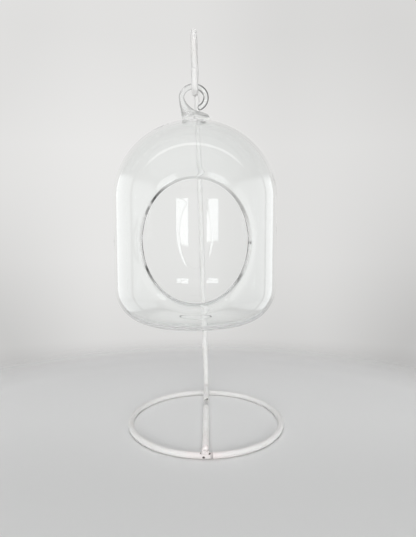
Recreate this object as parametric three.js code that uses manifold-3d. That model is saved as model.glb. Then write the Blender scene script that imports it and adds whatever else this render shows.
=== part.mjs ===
// Hanging glass terrarium on a wire stand.
// Millimetres, +Z up. The oval mouth of the vessel faces -Y and the stand's upright is behind it at +Y.
// The origin is the middle of the whole object's footprint, on the surface it stands on.
import * as THREE from "three";
import { mergeVertices } from "three/addons/utils/BufferGeometryUtils.js";
import Module from "manifold-3d";

// Clearances: between pieces that touch, of the loop in the hook, of the vessel from the riser,
// of the vessel from the table, and of the ring's seam from the weld beside it.
const FIT = 0.3;
const HOOK_PLAY = 1.65;
const RISER_GAP = 15;
const VESSEL_LIFT = 93.2;
const SEAM_GAP = 0.9;

// Stand wire.
const WIRE_D = 5;
const RING_OD = 135;
const RING_FLAT_W = 1.8;
const SEAM_W = 0.8;
const BAR_FRONT_SETBACK = 1.2;
const BAR_REAR_Y = 15;
const BAR_NOSE_R = 1.4;
const BORE_WALL = 0.8;
const PIN_INSERT = 8;
const PIN_CHAMFER = 0.4;
const PIN_GAP = 14;
const FOOT_BEND_R = 7.5;
const LEAN_DEG = 1.82;
const CROOK_LIFT = 22.5;
const TIP_RISE = 17.5;

// Glass vessel, measured from its own bottom.
const BODY_R = 66;
const BODY_H = 162.6;
const DOME_H = 62.6;
const CORNER_R = 29;
const WALL = 2.4;
const MARK_R = 12;
const MARK_BEVEL = 1.5;
const MARK_DEPTH = 0.6;
const MOUTH_W = 78;
const MOUTH_H = 86.8;
const MOUTH_Z = 68.2;
const LIP_SWELL = 1;

// Hanging loop drawn from the crown.
const LOOP_ROD_D = 4.7;
const LOOP_EYE_D = 13.2;
const LOOP_RISE = 17.9;
const LOOP_TAIL_DEG = -68;
const GATHER_LEFT = 10.6;
const GATHER_RIGHT = 13;
const GATHER_DEPTH = 10;

// Facets.
const WIRE_SIDES = 16;
const RING_STEPS = 72;
const BODY_STEPS = 56;
const LIP_STEPS = 52;
const LIP_SIDES = 10;

const wasm = await Module();
wasm.setup();

// Lumps of the front weld, in wire radii from the middle of the bar's front end: place, then half sizes.
const WELD_LUMPS = [
  [-0.4, -0.12, -0.64, 1.32, 0.88, 1.36],
  [-1.16, 0.88, -0.84, 0.8, 1.0, 0.8],
  [0.6, 0.24, -0.8, 0.64, 0.88, 0.8],
  [-0.16, -0.56, -1.2, 1.0, 0.52, 0.88],
];

const wireR = WIRE_D / 2;
const ringR = (RING_OD - WIRE_D) / 2;
const ringZ = Math.sqrt(wireR ** 2 - (RING_FLAT_W / 2) ** 2);
const footZ = ringZ + wireR + FIT + wireR;
const barFrontY = -ringR - wireR + BAR_FRONT_SETBACK;
const footFrontY = BAR_REAR_Y + PIN_GAP;
const boreR = wireR - BORE_WALL;
const pinR = boreR - FIT;
const weldRight = wireR * Math.max(...WELD_LUMPS.map(([x, , , rx]) => x + rx));
const seamX = weldRight + SEAM_GAP + SEAM_W / 2;

const sideTop = BODY_H - DOME_H;
const lipR = (WALL + LIP_SWELL) / 2;
const rodR = LOOP_ROD_D / 2;
const eyeR = LOOP_EYE_D / 2;
const loopR = eyeR + rodR;
const eyeZ = BODY_H + LOOP_RISE;

const riserY = ringR + FOOT_BEND_R;
const hookR = wireR + rodR + HOOK_PLAY;
const hookY = riserY - wireR - RISER_GAP - BODY_R;
const hookZ = VESSEL_LIFT + eyeZ + eyeR - FIT - wireR;
const springZ = hookZ + CROOK_LIFT;
const lean = Math.tan(THREE.MathUtils.degToRad(LEAN_DEG));
const hookX = -lean * (hookZ - footZ);

const white = { color: 0xe9e6e1, roughness: 0.45, metalness: 0.0 };
const steel = { color: 0x9b9894, roughness: 0.4, metalness: 0.9 };
const glass = { color: 0xeef4f2, roughness: 0.05, metalness: 0.0, transparent: true, opacity: 0.35 };

/** Turn a closed geometry into a solid that can be joined and cut. */
function solid(geometry) {
  const plain = geometry.clone();
  plain.deleteAttribute("normal");
  plain.deleteAttribute("uv");
  const welded = mergeVertices(plain, 1e-4);
  const vertProperties = new Float32Array(welded.getAttribute("position").array);
  const triVerts = new Uint32Array(welded.getIndex().array);
  return new wasm.Manifold(new wasm.Mesh({ numProp: 3, vertProperties, triVerts }));
}

/** Turn a solid back into a geometry. */
function geometryOf(body) {
  const mesh = body.getMesh();
  const geometry = new THREE.BufferGeometry();
  geometry.setAttribute("position", new THREE.BufferAttribute(new Float32Array(mesh.vertProperties), 3));
  geometry.setIndex(new THREE.BufferAttribute(new Uint32Array(mesh.triVerts), 1));
  geometry.computeVertexNormals();
  return geometry;
}

function piece(name, geometry, finish) {
  const mesh = new THREE.Mesh(geometry, new THREE.MeshStandardMaterial(finish));
  mesh.name = name;
  return mesh;
}

/** A curve through given stations, so that bends get many steps and straight runs get one. */
class WirePath extends THREE.Curve {
  constructor(stations) {
    super();
    this.stations = stations;
  }

  get steps() {
    return this.stations.length - 1;
  }

  getUtoTmapping(u) {
    return u;
  }

  getPoint(t, target = new THREE.Vector3()) {
    const place = t * this.steps;
    const i = Math.min(Math.floor(place), this.steps - 1);
    return target.lerpVectors(this.stations[i], this.stations[i + 1], place - i);
  }

  getTangent(t, target = new THREE.Vector3()) {
    const i = Math.round(t * this.steps);
    const here = this.stations[i];
    target.set(0, 0, 0);
    for (const [a, b] of [[this.stations[i - 1], here], [here, this.stations[i + 1]]]) {
      if (a && b) {
        target.add(b.clone().sub(a).normalize());
      }
    }
    return target.normalize();
  }
}

/** Round wire of the given radius along a path. */
function wire(stations, radius, sides = WIRE_SIDES) {
  const path = new WirePath(stations);
  const section = new THREE.Shape();
  section.absarc(0, 0, radius, 0, 2 * Math.PI);
  return new THREE.ExtrudeGeometry(section, {
    steps: path.steps,
    curveSegments: sides / 2,
    extrudePath: path,
  });
}

/** Points of an arc, from angle a to angle b in degrees, steps apart. */
function arc(centreU, centreV, radius, a, b, steps) {
  const points = [];
  for (let i = 0; i <= steps; i++) {
    const angle = THREE.MathUtils.degToRad(a + ((b - a) * i) / steps);
    points.push([centreU + radius * Math.cos(angle), centreV + radius * Math.sin(angle)]);
  }
  return points;
}

/** Base ring, open at its butt seam and ground flat underneath. */
function ringStations() {
  const half = (SEAM_W / 2 + FIT) / ringR;
  const seam = -Math.PI / 2 + Math.asin(seamX / ringR);
  const stations = [];
  for (let i = 0; i <= RING_STEPS; i++) {
    const angle = seam + half + ((2 * Math.PI - 2 * half) * i) / RING_STEPS;
    stations.push(new THREE.Vector3(ringR * Math.cos(angle), ringR * Math.sin(angle), ringZ));
  }
  return stations;
}

function baseRing() {
  const under = new THREE.BoxGeometry(2 * RING_OD, 2 * RING_OD, WIRE_D);
  under.translate(0, 0, -WIRE_D / 2);
  return geometryOf(solid(wire(ringStations(), wireR)).subtract(solid(under)));
}

/** Disc of weld metal that closes the ring's seam. */
function ringSeamWeld() {
  const radius = ringZ - 0.1;
  const edge = SEAM_W / 4;
  const half = SEAM_W / 2;
  const profile = [
    [0, -half],
    [radius - edge, -half],
    [radius, -half + edge],
    [radius, half - edge],
    [radius - edge, half],
    [0, half],
  ];
  const disc = new THREE.LatheGeometry(profile.map(([r, y]) => new THREE.Vector2(r, y)), WIRE_SIDES);
  const angle = Math.asin(seamX / ringR);
  disc.rotateZ(-Math.PI / 2 + angle);
  disc.translate(ringR * Math.sin(angle), -ringR * Math.cos(angle), ringZ);
  return disc;
}

/** Straight bar over the front of the ring, rounded and bored at its rear end. */
function footBar(grow = 0) {
  const r = wireR + grow;
  if (grow > 0) {
    return lathe([[0, barFrontY - grow], [r, barFrontY - grow], [r, BAR_REAR_Y], [0, BAR_REAR_Y]]);
  }
  const nose = Math.min(BAR_NOSE_R, 0.9 * BORE_WALL);
  return lathe([
    [0, barFrontY],
    [r, barFrontY],
    ...arc(r - nose, BAR_REAR_Y - nose, nose, 0, 90, 4),
    [boreR, BAR_REAR_Y],
    [boreR, BAR_REAR_Y - PIN_INSERT - FIT],
    [0, BAR_REAR_Y - PIN_INSERT - FIT],
  ]);
}

function lathe(profile) {
  const turned = new THREE.LatheGeometry(profile.map(([r, y]) => new THREE.Vector2(r, y)), WIRE_SIDES);
  turned.translate(0, 0, footZ);
  return turned;
}

/** Bare pin that joins the bar to the upright's foot. */
function jointPin() {
  const r = pinR;
  const y0 = BAR_REAR_Y - PIN_INSERT;
  const y1 = footFrontY + PIN_INSERT;
  const c = PIN_CHAMFER;
  return lathe([[0, y0], [r - c, y0], [r, y0 + c], [r, y1 - c], [r - c, y1], [0, y1]]);
}

/** Lumpy weld that wraps the bar's front end down onto the ring. */
function frontWeld() {
  let body = null;
  for (const [x, y, z, rx, ry, rz] of WELD_LUMPS) {
    const ball = new THREE.SphereGeometry(wireR, 14, 9);
    ball.scale(rx, ry, rz);
    ball.translate(wireR * x, barFrontY + wireR * y, footZ + wireR * z);
    body = body ? body.add(solid(ball)) : solid(ball);
  }
  body = body.subtract(solid(footBar(FIT)));
  return geometryOf(body.subtract(solid(wire(ringStations(), wireR + FIT))));
}

/** Centre line of the upright: foot over the ring, riser, crook and hook, leaning to -X as it rises. */
function uprightStations() {
  const crookR = (riserY - hookY - hookR) / 2;
  const points = [
    [footFrontY, footZ],
    ...arc(ringR, footZ + FOOT_BEND_R, FOOT_BEND_R, -90, 0, 8),
    ...arc(riserY - crookR, springZ, crookR, 0, 180, 24),
    ...arc(hookY, hookZ + hookR, hookR, 0, -180, 16),
    [hookY - hookR, hookZ + TIP_RISE - wireR],
  ];
  return points.map(([y, z]) => new THREE.Vector3(-lean * (z - footZ), y, z));
}

function uprightRod() {
  const stations = uprightStations();
  const tip = new THREE.SphereGeometry(wireR, WIRE_SIDES, 8);
  tip.rotateX(Math.PI / 2);
  tip.translate(...stations[stations.length - 1].toArray());
  const bore = new THREE.CylinderGeometry(boreR, boreR, 2 * (PIN_INSERT + FIT), WIRE_SIDES);
  bore.translate(0, footFrontY, footZ);
  return geometryOf(solid(wire(stations, wireR)).add(solid(tip)).subtract(solid(bore)));
}

/** Half profile of the vessel, set in from its outside by a wall. */
function vesselProfile(inset, mark) {
  const r = BODY_R - inset;
  const corner = CORNER_R - inset;
  const dome = arc(0, 0, 1, 0, 90, 11).map(([u, v]) => [r * u, sideTop + (DOME_H - inset) * v]);
  dome[dome.length - 1][0] = 0;
  const floor = mark ? [[0, MARK_DEPTH], [MARK_R, MARK_DEPTH], [MARK_R + MARK_BEVEL, 0]] : [[0, inset]];
  const bend = arc(r - corner, inset + corner, corner, -90, 0, 7);
  return [...floor, ...bend, ...dome].map(([x, y]) => new THREE.Vector2(x, y));
}

function turnedVessel(inset, mark = false) {
  const turned = new THREE.LatheGeometry(vesselProfile(inset, mark), BODY_STEPS);
  turned.rotateX(Math.PI / 2);
  return turned;
}

/** Radius of the middle of the wall at a height. */
function wallRadius(z) {
  const inset = WALL / 2;
  const corner = CORNER_R - inset;
  if (z < CORNER_R) {
    return BODY_R - CORNER_R + Math.sqrt(corner ** 2 - (CORNER_R - z) ** 2);
  }
  if (z > sideTop) {
    return (BODY_R - inset) * Math.sqrt(1 - ((z - sideTop) / (DOME_H - inset)) ** 2);
  }
  return BODY_R - inset;
}

/** Fire-polished lip: a round bead that follows the mouth over the curved wall. */
function lipBead() {
  const place = (i) => {
    const angle = (2 * Math.PI * i) / LIP_STEPS;
    const x = (MOUTH_W / 2) * Math.cos(angle);
    const z = MOUTH_Z + (MOUTH_H / 2) * Math.sin(angle);
    return new THREE.Vector3(x, -Math.sqrt(wallRadius(z) ** 2 - x ** 2), z);
  };
  const rings = [];
  for (let i = 0; i < LIP_STEPS; i++) {
    const centre = place(i);
    const along = place(i + 1).sub(place(i - 1)).normalize();
    const out = new THREE.Vector3(centre.x, centre.y, 0).normalize();
    const across = out.clone().cross(along).normalize();
    out.copy(along).cross(across);
    const ring = [];
    for (let k = 0; k < LIP_SIDES; k++) {
      const angle = (2 * Math.PI * k) / LIP_SIDES;
      const p = centre.clone().addScaledVector(out, lipR * Math.cos(angle));
      ring.push(p.addScaledVector(across, lipR * Math.sin(angle)));
    }
    rings.push(ring);
  }
  return loft(rings, true);
}

function glassVessel() {
  const oval = new THREE.Shape();
  oval.absellipse(0, MOUTH_Z, MOUTH_W / 2, MOUTH_H / 2, 0, 2 * Math.PI);
  const through = { depth: 2 * BODY_R, bevelEnabled: false, curveSegments: LIP_STEPS / 2 };
  const mouth = new THREE.ExtrudeGeometry(oval, through);
  mouth.rotateX(Math.PI / 2);
  const shell = solid(turnedVessel(0, true)).subtract(solid(turnedVessel(WALL))).subtract(solid(mouth));
  return geometryOf(shell.add(solid(lipBead())));
}

/** Closed skin through rings of points, capped at both ends or run round into itself. */
function loft(rings, endless = false) {
  const sides = rings[0].length;
  const positions = rings.flat().flatMap((p) => [p.x, p.y, p.z]);
  const total = rings.length * sides;
  const index = [];
  for (let k = 0; k < rings.length - (endless ? 0 : 1); k++) {
    for (let i = 0; i < sides; i++) {
      const a = k * sides + i;
      const b = k * sides + ((i + 1) % sides);
      const c = (b + sides) % total;
      const d = (a + sides) % total;
      index.push(a, c, b, a, d, c);
    }
  }
  const last = total - sides;
  for (let i = 1; i + 1 < sides && !endless; i++) {
    index.push(0, i, i + 1, last, last + i + 1, last + i);
  }
  const geometry = new THREE.BufferGeometry();
  geometry.setAttribute("position", new THREE.Float32BufferAttribute(positions, 3));
  geometry.setIndex(index);
  return geometry;
}

/** Ring of points about (x, z), with one radius along a direction in the XZ plane and one along Y. */
function ovalRing(x, z, dirX, dirZ, radius, depth) {
  const points = [];
  for (let i = 0; i < WIRE_SIDES; i++) {
    const angle = (2 * Math.PI * i) / WIRE_SIDES;
    const u = radius * Math.cos(angle);
    points.push(new THREE.Vector3(x + u * dirX, depth * Math.sin(angle), z + u * dirZ));
  }
  return points;
}

/** Rings of the loop's rod between two angles about the eye; the angle falls from left to right. */
function rodRings(from, to, steps, taper) {
  const rings = [];
  for (let i = 0; i <= steps; i++) {
    const angle = THREE.MathUtils.degToRad(from + ((to - from) * i) / steps);
    const [u, v] = [Math.cos(angle), Math.sin(angle)];
    const r = rodR * taper(i / steps);
    rings.push(ovalRing(loopR * u, eyeZ + loopR * v, u, v, r, r));
  }
  return rings;
}

/** Glass gather flaring from the crown into the rod's left limb, as stacked level rings. */
function gatherRings() {
  const outer = loopR + rodR;
  const rings = [];
  for (const [rise, left, right, depth] of [
    [-0.11, 0, 1.04, 1.12],
    [0.0, 0, 1.0, 1.0],
    [0.07, 0, 0.95, 0.84],
    [0.2, 0.05, 0.77, 0.6],
    [0.31, 0.2, 0.62, 0.46],
    [0.38, 0.3, 0.48, 0.38],
    [0.45, 0.45, 0.14, 0.33],
    [0.52, 0.6, -0.12, 0.3],
    [0.62, 0.75, -0.32, 0.275],
    [0.76, 0.9, -0.45, 0.25],
  ]) {
    const xl = -(GATHER_LEFT + (outer - GATHER_LEFT) * left);
    const xr = right > 0 ? GATHER_RIGHT * right : eyeR * right * 2;
    const y = Math.max(GATHER_DEPTH * depth, rodR);
    rings.push(ovalRing((xl + xr) / 2, BODY_H + LOOP_RISE * rise, -1, 0, (xr - xl) / 2, y));
  }
  return rings;
}

function hangingLoop() {
  const stem = loft([...gatherRings(), ...rodRings(180, 80, 12, () => 1)]);
  const bead = (t) => Math.sqrt(Math.max(1 - Math.max((t - 0.9) / 0.1, 0) ** 2, 0.04));
  const tail = loft(rodRings(90, LOOP_TAIL_DEG, 30, bead));
  const crown = turnedVessel(-FIT);
  return geometryOf(solid(stem).add(solid(tail)).subtract(solid(crown)));
}

const stand = new THREE.Group();
stand.add(
  piece("base_ring", baseRing(), white),
  piece("ring_seam_weld", ringSeamWeld(), white),
  piece("foot_bar", footBar(), white),
  piece("front_weld", frontWeld(), white),
  piece("joint_pin", jointPin(), steel),
  piece("upright_rod", uprightRod(), white),
);

const hanging = new THREE.Group();
hanging.position.set(hookX, hookY, VESSEL_LIFT);
hanging.add(piece("glass_vessel", glassVessel(), glass), piece("hanging_loop", hangingLoop(), glass));

const terrarium = new THREE.Group();
terrarium.add(stand, hanging);
const box = new THREE.Box3().setFromObject(terrarium, true);
terrarium.position.set(-(box.min.x + box.max.x) / 2, -(box.min.y + box.max.y) / 2, -box.min.z);

export default terrarium;
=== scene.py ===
"""Hanging glass terrarium on a white wire stand.

One blown vessel with a domed top and an oval mouth hangs by its drawn loop from the hook of a bent
wire upright, which stands on a welded ring. Shapes are worked out in millimetres, about the middle
of the ring or the vessel's own axis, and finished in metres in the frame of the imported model.
"""

import logging
import math
from collections.abc import Sequence
from dataclasses import dataclass, field
from enum import Enum
from itertools import pairwise

import bmesh
import bpy
from mathutils import Matrix, Vector, noise

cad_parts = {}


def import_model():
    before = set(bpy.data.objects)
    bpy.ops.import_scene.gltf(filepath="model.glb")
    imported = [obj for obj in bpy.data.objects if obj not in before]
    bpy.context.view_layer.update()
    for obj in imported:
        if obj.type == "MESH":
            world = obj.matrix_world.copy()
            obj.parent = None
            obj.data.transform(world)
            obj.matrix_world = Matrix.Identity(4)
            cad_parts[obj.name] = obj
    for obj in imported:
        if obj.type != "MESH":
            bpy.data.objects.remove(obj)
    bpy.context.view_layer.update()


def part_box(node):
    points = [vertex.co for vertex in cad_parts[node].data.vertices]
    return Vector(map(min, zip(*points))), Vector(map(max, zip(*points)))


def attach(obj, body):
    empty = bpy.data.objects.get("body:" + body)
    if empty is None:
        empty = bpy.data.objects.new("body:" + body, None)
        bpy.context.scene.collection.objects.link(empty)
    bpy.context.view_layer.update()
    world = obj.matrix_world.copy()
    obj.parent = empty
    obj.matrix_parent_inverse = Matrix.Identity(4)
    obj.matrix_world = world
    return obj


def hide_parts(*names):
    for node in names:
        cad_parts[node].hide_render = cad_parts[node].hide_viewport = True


log = logging.getLogger("terrarium")

MM = 0.001
HAIR_MM = 0.01  # a length that counts as nothing
TINY = 1e-9
BOUNCES = 96  # enough for light that is caught in the wall of glass to find its way out
BMesh = bmesh.types.BMesh
Colour = tuple[float, float, float]
Pair = tuple[float, float]
Socket = bpy.types.NodeSocket
UP = Vector((0, 0, 1))


class Body(Enum):
    """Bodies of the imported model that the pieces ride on."""

    STAND = "stand"
    GLASS = "hanging_glass"


class Slot(Enum):
    """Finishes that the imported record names."""

    PAINT = "white_paint"
    STEEL = "bare_steel"
    GLASS = "clear_glass"


class Skin(Enum):
    """The two sides of the vessel's wall, as the way that each lies from the wall's middle."""

    OUTER = 1
    INNER = -1


class Use(Enum):
    """What a lamp is for."""

    LIGHT = "lights the scene and is not seen"
    GLINT = "is seen in gloss and lights nothing"
    WINDOW = "is seen in gloss, also through glass, and lights nothing"


def eased(value: float) -> float:
    """Ease a share from 0 to 1 with flat ends.

    Args:
        value: Share, which may lie outside 0 to 1.

    Returns:
        The eased share.
    """
    share = min(max(value, 0.0), 1.0)
    return share * share * (3 - 2 * share)


class Nodes:
    """Node tree of a material, a lamp or the surround, with short calls that add to it."""

    def __init__(self, tree: bpy.types.NodeTree) -> None:
        """Take a tree.

        Args:
            tree: The tree.
        """
        self.tree = tree

    def node(self, kind: str, values: dict | None = None, **settings: object) -> bpy.types.Node:
        """Add a node.

        Args:
            kind: Blender's name for the node.
            values: Numbers, colours or sockets for its inputs, by name or place.
            **settings: The node's own options.

        Returns:
            The new node.
        """
        made = self.tree.nodes.new(kind)
        for key, value in settings.items():
            setattr(made, key, value)
        for key, value in (values or {}).items():
            self.feed(made, key, value)
        return made

    def feed(self, node: bpy.types.Node, key: str | int, value: object) -> None:
        """Set one input of a node, or join a socket to it.

        Args:
            node: The node.
            key: Name or place of the input.
            value: Number, colour, vector or socket.
        """
        if isinstance(value, Socket):
            self.tree.links.new(value, node.inputs[key])
        else:
            node.inputs[key].default_value = value

    def axes(self, vector: Socket) -> bpy.types.NodeOutputs:
        """Split a vector into X, Y and Z."""
        return self.node("ShaderNodeSeparateXYZ", {0: vector}).outputs

    def maths(self, how: str, *values: float | Socket) -> Socket:
        """Work out one number from others."""
        return self.node("ShaderNodeMath", dict(enumerate(values)), operation=how).outputs[0]

    def vector(self, how: str, *values: Sequence[float] | Socket) -> bpy.types.NodeOutputs:
        """Work out a vector or a length from vectors."""
        return self.node("ShaderNodeVectorMath", dict(enumerate(values)), operation=how).outputs

    def times(self, a: Socket, b: Socket) -> Socket:
        """Multiply two shares, held between 0 and 1."""
        values = {0: a, 1: b}
        return self.node("ShaderNodeMath", values, operation="MULTIPLY", use_clamp=True).outputs[0]

    def ramp(self, value: Socket, stops: Sequence[tuple[float, Colour]]) -> Socket:
        """Blend from colour to colour along a value.

        Args:
            value: Value from 0 to 1.
            stops: Places along it, in order from 0 to 1, and their colours.

        Returns:
            The colour.
        """
        node = self.node("ShaderNodeValToRGB", {0: value})
        marks = node.color_ramp.elements
        for place, _ in stops[1:-1]:
            marks.new(place)
        for mark, (_, colour) in zip(marks, stops):
            mark.color = (*colour, 1)
        return node.outputs[0]

    def span(self, value: Socket, old: Sequence[float], new: Sequence[float]) -> Socket:
        """Bring a number from one span to another, smoothly and held at the ends.

        Args:
            value: The number.
            old: Ends of its own span.
            new: Ends of the span that it gets.

        Returns:
            The new number.
        """
        values = {0: value, 1: old[0], 2: old[1], 3: new[0], 4: new[1]}
        made = self.node("ShaderNodeMapRange", values, interpolation_type="SMOOTHSTEP")
        return made.outputs[0]


class Mixture(Nodes):
    """Nodes of one material, with the calls that its finish is mixed by."""

    def __init__(self, name: str) -> None:
        """Start a material with its main shader and its object coordinates.

        Args:
            name: Name of the material.
        """
        self.material = bpy.data.materials.new(name)
        self.material.use_nodes = True
        super().__init__(self.material.node_tree)
        self.shader = self.tree.nodes["Principled BSDF"]
        self.place = self.tree.nodes.new("ShaderNodeTexCoord").outputs["Object"]

    def cloud(self, size_mm: float, detail: float = 3.0, stretch: Colour = (1, 1, 1)) -> Socket:
        """Soft random patches.

        Args:
            size_mm: Rough width of a patch.
            detail: How much finer noise is added.
            stretch: How much closer the patches lie along each axis.

        Returns:
            A number about 0.5.
        """
        spread = self.node("ShaderNodeMapping", {"Vector": self.place, "Scale": stretch})
        values = {"Vector": spread.outputs[0], "Scale": 1 / (size_mm * MM), "Detail": detail}
        return self.node("ShaderNodeTexNoise", values).outputs[0]

    def patches(self, size_mm: float, detail: float, cut: Pair, share: Pair) -> Socket:
        """Patches cut out of soft random ones.

        Args:
            size_mm: Rough width of a patch.
            detail: How much finer noise is added.
            cut: Noise at which a patch starts and is full.
            share: Shares outside a patch and where it is full.

        Returns:
            The share.
        """
        return self.span(self.cloud(size_mm, detail), cut, share)

    def near(self, point: Vector, full_mm: float, none_mm: float) -> Socket:
        """Share that fades with the distance from a point.

        Args:
            point: The point, in metres.
            full_mm: Distance within which the share is 1.
            none_mm: Distance past which it is 0.

        Returns:
            The share.
        """
        far = self.vector("DISTANCE", self.place, point)["Value"]
        return self.span(far, (full_mm * MM, none_mm * MM), (1, 0))

    def mix(self, share: Socket, under: Colour | Socket, over: Colour | Socket) -> Socket:
        """Lay one colour over another.

        Args:
            share: How much of the upper colour shows.
            under: Lower colour.
            over: Upper colour.

        Returns:
            The mixed colour.
        """
        made = self.node("ShaderNodeMix", {0: share}, data_type="RGBA")
        for key, colour in ((6, under), (7, over)):
            self.feed(made, key, colour if isinstance(colour, Socket) else (*colour, 1))
        return made.outputs[2]

    def relief(self, height: Socket, depth_mm: float, under: Socket | None = None) -> Socket:
        """Small bumps of the surface.

        Args:
            height: Height from 0 to 1.
            depth_mm: Height in millimetres that 1 stands for.
            under: Bumps that these lie on.

        Returns:
            The surface's normal.
        """
        values = {"Height": height, "Strength": 1.0, "Distance": depth_mm * MM}
        made = self.node("ShaderNodeBump", values)
        if under is not None:
            self.feed(made, "Normal", under)
        return made.outputs[0]

    def dress(self, values: dict) -> bpy.types.Material:
        """Set inputs of the main shader and give the material.

        Args:
            values: Numbers, colours or sockets for the shader's inputs, by name.

        Returns:
            The material.
        """
        for key, value in values.items():
            self.feed(self.shader, key, value)
        return self.material


@dataclass(frozen=True)
class WhitePaint:
    """White paint on wire: a little uneven, yellowed in patches, chipped near the weld, with
    painted shade in the gaps at those chips, and dirt with a painted contact shadow along the floor
    line.
    """

    name: str
    white: Colour
    weld: Vector
    rust_and_shade_marks: tuple[tuple[Vector, float], ...]
    aged: Colour = (0.75, 0.725, 0.69)
    blush: Colour = (0.81, 0.735, 0.73)
    grime: Colour = (0.40, 0.36, 0.32)
    dirt_and_contact_shade: Colour = (0.34, 0.28, 0.26)
    rust_and_shade: Colour = (0.045, 0.033, 0.03)
    floor_line_mm: Pair = (0.1, 0.8)
    blot_edge: Pair = (0.55, 1.15)

    def material(self) -> bpy.types.Material:
        """Mix the paint.

        Returns:
            The material.
        """
        m = Mixture(self.name)
        yellowed = m.patches(size_mm=14, detail=4, cut=(0.5, 0.74), share=(0, 0.45))
        colour = m.mix(yellowed, self.white, self.aged)
        stain = m.patches(size_mm=7, detail=3, cut=(0.3, 0.7), share=(0.3, 0.85))
        near_weld = m.near(self.weld, full_mm=4, none_mm=30)
        colour = m.mix(m.times(near_weld, stain), colour, self.blush)
        specks = m.patches(size_mm=1.1, detail=2, cut=(0.715, 0.76), share=(0, 0.7))
        colour = m.mix(specks, colour, self.grime)
        # Dirt and a painted contact shadow: the paint darkens along the floor line at the bottom of
        # the wire.
        low, high = self.floor_line_mm
        floor_line = m.span(m.axes(m.place)["Z"], (low * MM, high * MM), (0.85, 0))
        broken = m.patches(size_mm=9, detail=2, cut=(0.3, 0.6), share=(0.5, 1))
        colour = m.mix(m.times(floor_line, broken), colour, self.dirt_and_contact_shade)
        # Dark spots that are rust pits and painted shade in the gaps by the weld and at the
        # upright's foot.
        for blot, size in self.rust_and_shade_marks:
            heart, rim = self.blot_edge
            colour = m.mix(m.near(blot, heart * size, rim * size), colour, self.rust_and_shade)
        runs = m.relief(m.cloud(size_mm=5, detail=2), depth_mm=0.22)
        grain = m.relief(m.cloud(size_mm=0.8), depth_mm=0.035, under=runs)
        gloss = m.patches(size_mm=6, detail=4, cut=(0.3, 0.7), share=(0.33, 0.52))
        return m.dress({"Base Color": colour, "Roughness": gloss, "Normal": grain})


@dataclass(frozen=True)
class BareSteel:
    """Bare drawn steel with fine lines along it and dull patches."""

    bright: Colour = (0.66, 0.66, 0.655)
    dull: Colour = (0.56, 0.555, 0.55)

    def material(self) -> bpy.types.Material:
        """Mix the steel.

        Returns:
            The material.
        """
        m = Mixture("bare_steel")
        lines = m.cloud(size_mm=0.5, stretch=(1, 0.04, 1))
        dulled = m.patches(size_mm=3, detail=4, cut=(0.4, 0.72), share=(0, 1))
        colour = m.mix(dulled, self.bright, self.dull)
        gloss = m.span(lines, (0.3, 0.7), (0.34, 0.52))
        marks = m.relief(lines, depth_mm=0.02)
        return m.dress({"Base Color": colour, "Metallic": 1.0, "Roughness": gloss, "Normal": marks})


@dataclass(frozen=True)
class ClearGlass:
    """Clear blown glass: faintly rippled, with painted dark reflections along the edges of its
    round bead or rod.
    """

    name: str
    tint: Colour = (0.985, 0.995, 0.992)
    # Colour of the painted dark reflections along the edges.
    edge: Colour = (0.0, 0.0, 0.0)
    edge_span: Pair = (0.0, 0.3)
    ripple_mm: float = 26.0
    ripple_depth_mm: float = 0.05
    fused_ior: float = 1.47
    ior: float = 1.47

    def material(self, rounded: "Oval | Rod") -> bpy.types.Material:
        """Mix the glass.

        Args:
            rounded: Bead or rod that gets painted dark reflections at its edges. Away from it the
                glass may be fused to more glass behind, and bends light less.

        Returns:
            The material.
        """
        m = Mixture(self.name)
        facing = m.node("ShaderNodeLayerWeight", {"Blend": 0.5}).outputs["Facing"]
        # Painted dark reflections: the edge colour is laid over the bead or rod where its surface
        # turns edge-on.
        shade = m.times(m.span(facing, self.edge_span, (0, 1)), rounded.streaks(m))
        share = rounded.share(m)
        values = {
            "Base Color": m.mix(m.times(shade, share), self.tint, self.edge),
            "Roughness": m.patches(size_mm=30, detail=3, cut=(0.45, 0.8), share=(0.0, 0.025)),
            "Normal": m.relief(m.cloud(self.ripple_mm, detail=1), self.ripple_depth_mm),
            "Transmission Weight": 1.0,
            "IOR": self.ior,
        }
        if self.fused_ior != self.ior:
            values["IOR"] = m.span(share, (0, 1), (self.fused_ior, self.ior))
        return m.dress(values)


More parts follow.
